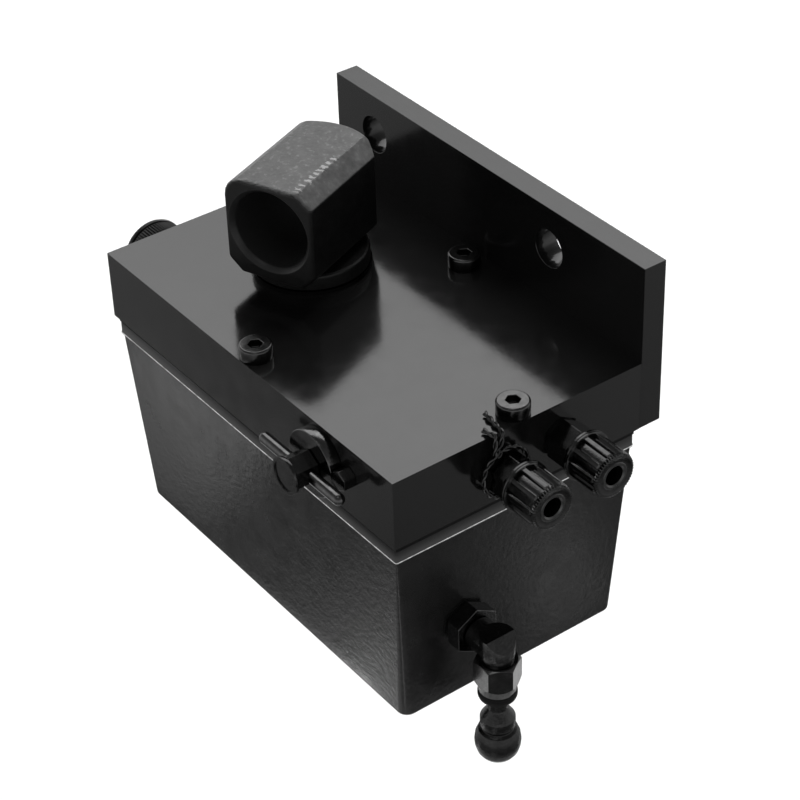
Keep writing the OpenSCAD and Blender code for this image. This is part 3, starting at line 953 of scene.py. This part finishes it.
def twisted_wire(material):
    """Two strands: up over the lid's edge, round the coupling's neck and back up."""
    low, high = lo("tube_body_1"), hi("tube_body_1")
    middle_y = (low.y + high.y) / 2 - CORNER.y
    middle_z = (low.z + high.z) / 2 - CORNER.z
    loop_x = LID_HI.x - CORNER.x + 2.6 * MM
    loop_r = 7.95 * MM
    edge = (LID_HI.x - CORNER.x) / MM
    corners = [
        Vector((edge - 11, 39.2, 1.2)) * MM, Vector((edge - 8.6, 38.9, 1.1)) * MM,
        Vector((edge - 4, 38.2, 0.95)) * MM, Vector((edge + 0.4, 37.6, 0.9)) * MM,
        Vector((edge + 2.1, 36.4, -1.2)) * MM,
    ]
    loop_start, loop_turn = 118, 380
    for degrees in range(loop_start, loop_start + loop_turn, 20):
        angle = math.radians(degrees)
        corners.append(Vector((
            loop_x, middle_y + loop_r * math.cos(angle), middle_z + loop_r * math.sin(angle),
        )))
    corners += [
        Vector((edge + 1.7, 34.4, 0.4)) * MM, Vector((edge, 34.1, 0.95)) * MM,
        Vector((edge - 2.7, 33.6, 1)) * MM, Vector((edge - 5, 33.2, 1)) * MM,
    ]
    path = [CORNER + p for p in smooth_path(corners, 0.35 * MM)]
    points, faces = strands(path, 0.42 * MM, 0.45 * MM, 150)
    return add_piece("twisted_wire", points, faces, material, "lock_wire", 80)


# ---- the whole scene ----

STEEL_PARTS = (
    "outlet_adapter", "outlet_elbow", "outlet_swivel", "outlet_plug", "vent_spindle",
    "vent_handle", "vent_flange", "flange_lock_screw",
)
SEALS = ("gasket", "outlet_washer", "tube_seal_1", "tube_seal_2", "vent_seal", "side_seal")
PLAIN_PARTS = ("return_tube_1", "return_tube_2", "suction_strainer")


def main():
    make_camera()
    make_studio()
    make_floor()
    black = blackened()
    lid = lid_paint()
    seal = rubber()
    for node in NODES:
        finish_node(node, black)
    finish_node("lid", lid, 0.4)
    finish_node("mounting_plate", plate_paint(), 0.35)
    worn_elbow()
    rubbed_black = blackened("rubbed_black", 0.09, 0.18, 0.0001)
    finish_node("vent_flange", rubbed_black, 0.25)
    finish_node("vent_handle", rubbed_black)
    forged = blackened("forged_black", 0.07, 0.2, 0.0003)
    for node in ("outlet_adapter", "outlet_elbow"):
        finish_node(node, forged, 0.25)
    finish_node("vent_spindle", blackened("spindle_black", 0.045, 0.2), 0.25)
    finish_node("outlet_swivel", blackened("swivel_black", 0.1, 0.14), 0.25)
    finish_node("outlet_plug", blackened("plug_black", 0.035, 0.2, 0.0004), 0.15)
    finish_node("flange_lock_screw", rubbed_black, 0.2)
    for node in ("tube_body_1", "tube_body_2"):
        finish_node(node, black, 0.2)
    finish_node("lid_screws", blackened("screw_black", 0.075, 0.2), 0.45, 3)
    for node in SEALS:
        finish_node(node, seal)
    bright = plain_steel()
    for node in PLAIN_PARTS:
        finish_node(node, bright)
    tank_shell(tank_paint(), lid)
    nut_finish = blackened("nut_black", 0.055, 0.16, 0.00015)
    rubbed = blackened("rubbed_steel", 0.08, 0.3)
    nuts = [union_nut(number, nut_finish, rubbed) for number in (1, 2)]
    knurled_cap(blackened("cap_black", 0.01, 0.35))
    soft_collar(seal)
    twisted_wire(blackened("wire_dark", 0.055, 0.2))
    light_steel_parts([NODES[node] for node in STEEL_PARTS] + nuts)


main()
